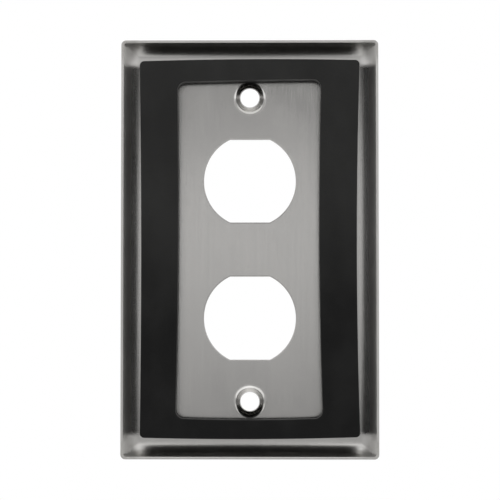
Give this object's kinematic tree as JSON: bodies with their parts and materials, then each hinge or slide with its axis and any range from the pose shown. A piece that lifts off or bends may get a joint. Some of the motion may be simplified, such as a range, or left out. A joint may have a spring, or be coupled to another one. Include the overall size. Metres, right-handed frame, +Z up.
{
  "type": "duplex wall plate",
  "caption": "Stamped stainless steel wall plate with flat-sided round connector ports, dimpled screw holes and a black foam gasket ring taped to its rear face.",
  "frame": {"origin": "on the wall plane, where the plate's rim edge touches the wall, midway between the two screw holes", "axes": "+Z up the plate's height, +X across its width, +Y out of the plate's rear into the wall, so the room side faces -Y"},
  "size_m": [0.0702, 0.0056, 0.1142],
  "materials": {
    "brushed_stainless": "brushed along the height",
    "black_foam": "matte closed-cell foam",
    "tape": "translucent double-sided tape"
  },
  "bodies": {
    "root": {"cover_plate": "brushed_stainless", "foam_gasket": "black_foam", "adhesive_tape": "tape"}
  },
  "joints": []
}
